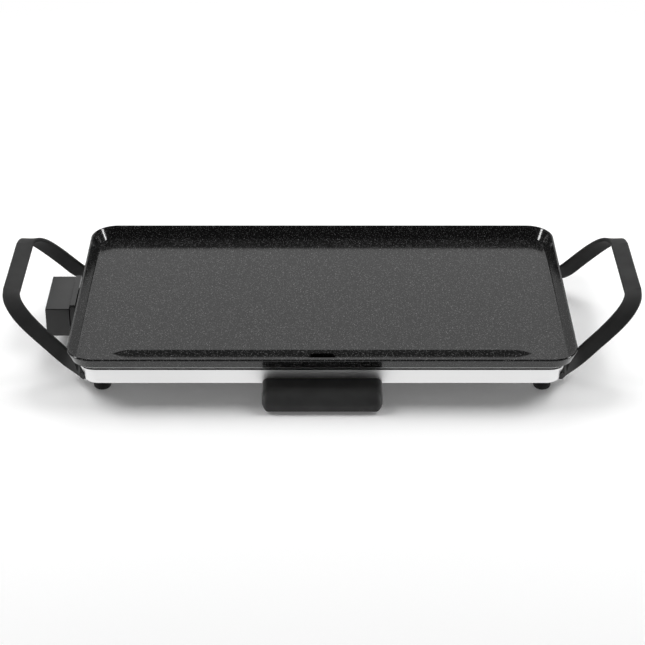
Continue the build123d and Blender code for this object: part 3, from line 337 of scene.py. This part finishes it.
def finishes():
    """The finish of each material slot."""
    return {
        "nonstick": nonstick(),
        "steel_sheet": brushed("steel_sheet", grey(0.88), smooth=0.45, rough=0.58,
                               grain=1.0 * MM, stretch=(0.02, 0.02, 2)),
        "plain_sheet": spangled(),
        "reflector_sheet": brushed("reflector_sheet", grey(0.82), smooth=0.16, rough=0.30,
                                   grain=0.8 * MM, stretch=(0.02, 1, 1)),
        "sheath": tinted("sheath", (0.15, 0.14, 0.13), (0.30, 0.26, 0.22), smooth=0.35, rough=0.50,
                         size=16 * MM),
        "screws": tinted("screws", grey(0.50), grey(0.66), smooth=0.22, rough=0.36, size=3 * MM),
        "rubber": moulded("rubber", grey(0.010), smooth=0.60, rough=0.80,
                          grain=0.5 * MM, depth=0.02 * MM, specular=0.15),
        "handle_plastic": moulded("handle_plastic", grey(0.030), smooth=0.55, rough=0.68,
                                  grain=0.45 * MM, depth=0.012 * MM, specular=0.15),
        "brass": tinted("brass", (0.62, 0.43, 0.18), (0.76, 0.56, 0.27), smooth=0.24, rough=0.38,
                        size=5 * MM),
        "ceramic": ceramic(),
        "tray_plastic": moulded("tray_plastic", grey(0.045), smooth=0.45, rough=0.55,
                                grain=0.45 * MM, depth=0.010 * MM, specular=0.22),
        "tray_coating": coating(),
        "control_plastic": moulded("control_plastic", grey(0.016), smooth=0.26, rough=0.38,
                                   grain=0.45 * MM, depth=0.012 * MM, specular=0.42),
        "switch_plastic": moulded("switch_plastic", (0.050, 0.030, 0.022), smooth=0.35, rough=0.50,
                                  grain=0.7 * MM, depth=0.01 * MM),
        "lead_cover": braided(),
        "lens": clear("lens", (0.55, 0.05, 0.01), (0.80, 0.12, 0.03), transmission=0.6, rib=1.2 * MM),
        "lamp": clear("lamp", (0.75, 0.55, 0.35), (0.90, 0.75, 0.55), transmission=0.7, rib=0.9 * MM),
        "dial_plastic": moulded("dial_plastic", grey(0.022), smooth=0.34, rough=0.46,
                                grain=0.4 * MM, depth=0.010 * MM),
    }


def dress(materials):
    """Gives every node the finish of its slot."""
    for subpart in frame["record"]["subparts"]:
        node = frame["nodes"][subpart["node"]]
        material = materials[subpart["material_slot"]]
        if not node.material_slots:
            node.data.materials.append(material)
        for slot in node.material_slots:
            slot.material = material


def print_piece(name, mesh, body, material):
    """A thin print that rides on a body."""
    mesh.materials.append(material)
    piece = bpy.data.objects.new(name, mesh)
    scene.collection.objects.link(piece)
    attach(piece, body)


def number_mesh(text, matrix):
    """One printed number as a thin solid, centred on a place."""
    curve = bpy.data.curves.new("number", "FONT")
    curve.body = text
    curve.size = NUMBER_HEIGHT
    curve.align_x = "CENTER"
    curve.align_y = "CENTER"
    curve.extrude = PRINT_THICKNESS / 2
    holder = bpy.data.objects.new("number", curve)
    scene.collection.objects.link(holder)
    bpy.context.view_layer.update()
    shape = holder.evaluated_get(bpy.context.evaluated_depsgraph_get())
    mesh = bpy.data.meshes.new_from_object(shape)
    mesh.transform(matrix)
    bpy.data.objects.remove(holder)
    return mesh


def add_print():
    """Numbers round the dial and the pointer on the dial's grip, on the outer end of the control."""
    ink = printed()
    dial_low, dial_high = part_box("dial_knob")
    housing_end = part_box("control_housing")[0][0]
    middle = (Vector(dial_low) + Vector(dial_high)) / 2
    for index in range(NUMBER_COUNT):
        turn = math.radians(index * NUMBER_STEP)
        y = middle.y + NUMBER_RING * math.sin(turn)
        z = middle.z + NUMBER_RING * math.cos(turn)
        place = Matrix.Translation((housing_end - PRINT_THICKNESS / 2, y, z))
        mesh = number_mesh(str(index), place @ FACE_LEFT)
        print_piece("number_" + str(index), mesh, "control", ink)
    half = POINTER_WIDTH / 2
    top = dial_high[2] - POINTER_MARGIN
    outline = [(-half, top - POINTER_LENGTH), (half, top - POINTER_LENGTH), (half, top), (-half, top)]
    back = dial_low[0]
    front = back - PRINT_THICKNESS
    corners = [(x, middle.y + y, z) for x in (back, front) for y, z in outline]
    sides = [(i, (i + 1) % 4, (i + 1) % 4 + 4, i + 4) for i in range(4)]
    mesh = bpy.data.meshes.new("pointer")
    mesh.from_pydata(corners, [], [(3, 2, 1, 0), (4, 5, 6, 7)] + sides)
    print_piece("pointer", mesh, "dial", ink)


def add_camera():
    """The photograph's camera, level across the picture and pitched down."""
    data = bpy.data.cameras.new("photo_camera")
    data.sensor_width = SENSOR_WIDTH
    data.lens = FOCAL_PIXELS * SENSOR_WIDTH / IMAGE_SIZE
    data.shift_x = CENTRE_SHIFT_PIXELS / IMAGE_SIZE
    camera = bpy.data.objects.new("photo_camera", data)
    camera.location = CAMERA_PLACE
    camera.rotation_euler = (math.radians(90 - CAMERA_PITCH), 0, 0)
    scene.collection.objects.link(camera)
    scene.camera = camera


def floor_white():
    """Lit floor that keeps the shadow, and is plain white in gloss and far from the object."""
    material = bpy.data.materials.new("floor_white")
    material.use_nodes = True
    n = Nodes(material.node_tree)
    path = n.add("ShaderNodeLightPath")
    diffuse = n.add("ShaderNodeBsdfDiffuse")
    diffuse.inputs["Color"].default_value = (*grey(FLOOR_COLOR), 1)
    glow = n.add("ShaderNodeEmission")
    seen = n.ranged(path.outputs["Is Camera Ray"], low=0.0, high=FLOOR_GLOW)
    n.join(seen, glow.inputs["Strength"])
    lit = n.add("ShaderNodeAddShader")
    n.join(diffuse.outputs[0], lit.inputs[0])
    n.join(glow.outputs[0], lit.inputs[1])
    mirrored = n.combine("MAXIMUM", path.outputs["Is Glossy Ray"], path.outputs["Is Transmission Ray"])
    direct = n.combine("SUBTRACT", mirrored, path.outputs["Diffuse Depth"], use_clamp=True)
    place = n.add("ShaderNodeTexCoord")
    distance = n.add("ShaderNodeVectorMath", operation="LENGTH")
    n.join(place.outputs["Object"], distance.inputs[0])
    fade = n.ranged(distance.outputs["Value"], 0.0, 1.0, FLOOR_FADE_START, FLOOR_FADE_END,
                    interpolation_type="SMOOTHSTEP")
    far = n.combine("MULTIPLY", fade, path.outputs["Is Camera Ray"])
    white = n.add("ShaderNodeEmission")
    surface = n.mix(n.combine("MAXIMUM", direct, far), lit.outputs[0], white.outputs[0])
    out = n.add("ShaderNodeOutputMaterial")
    n.join(surface, out.inputs["Surface"])
    return material


def add_floor():
    """White floor on the table's level, far wider than the picture."""
    mesh = bpy.data.meshes.new("floor")
    r = FLOOR_REACH
    mesh.from_pydata([(-r, -r, 0), (r, -r, 0), (r, r, 0), (-r, r, 0)], [], [(0, 1, 2, 3)])
    mesh.materials.append(floor_white())
    floor = bpy.data.objects.new("floor", mesh)
    scene.collection.objects.link(floor)


def add_world():
    """Bright behind the object, dark in front of it, and white where the camera sees it."""
    world = bpy.data.worlds.new("studio")
    scene.world = world
    world.use_nodes = True
    n = Nodes(world.node_tree)
    place = n.add("ShaderNodeTexCoord")
    split = n.add("ShaderNodeSeparateXYZ")
    n.join(place.outputs["Generated"], split.inputs[0])
    level = n.ranged(split.outputs["Y"], BACKGROUND_FRONT, BACKGROUND_BACK, BACKGROUND_START,
                     BACKGROUND_END, interpolation_type="SMOOTHSTEP")
    shade = n.add("ShaderNodeBackground")
    n.join(level, shade.inputs["Color"])
    white = n.add("ShaderNodeBackground")
    white.inputs["Color"].default_value = (*grey(1.0), 1)
    path = n.add("ShaderNodeLightPath")
    surface = n.mix(path.outputs["Is Camera Ray"], shade.outputs[0], white.outputs[0])
    out = n.add("ShaderNodeOutputWorld")
    n.join(surface, out.inputs["Surface"])


def add_lamp(name, place, size, power):
    """A flat lamp at a place, aimed at the origin."""
    data = bpy.data.lights.new(name, "AREA")
    data.shape = "RECTANGLE"
    data.size, data.size_y = size
    data.energy = power
    lamp = bpy.data.objects.new(name, data)
    lamp.location = place
    lamp.rotation_euler = (-Vector(place)).to_track_quat("-Z", "Y").to_euler()
    scene.collection.objects.link(lamp)
    return lamp


def add_lights():
    """Softboxes behind and at the sides that only light, and panels at the ends that only show in gloss."""
    back = add_lamp("back_softbox", BACK_PLACE, BACK_SIZE, BACK_POWER)
    back.visible_glossy = False
    for side, name in ((-1, "left"), (1, "right")):
        x, y, z = SIDE_PLACE
        softbox = add_lamp("softbox_" + name, (side * x, y, z), SIDE_SIZE, SIDE_POWER)
        softbox.visible_glossy = False
        x, y, z = PANEL_PLACE
        panel = add_lamp("panel_" + name, (side * x, y, z), PANEL_SIZE, PANEL_POWER)
        panel.visible_diffuse = False


dress(finishes())
add_print()
add_camera()
add_floor()
add_world()
add_lights()

scene.view_settings.view_transform = "Standard"
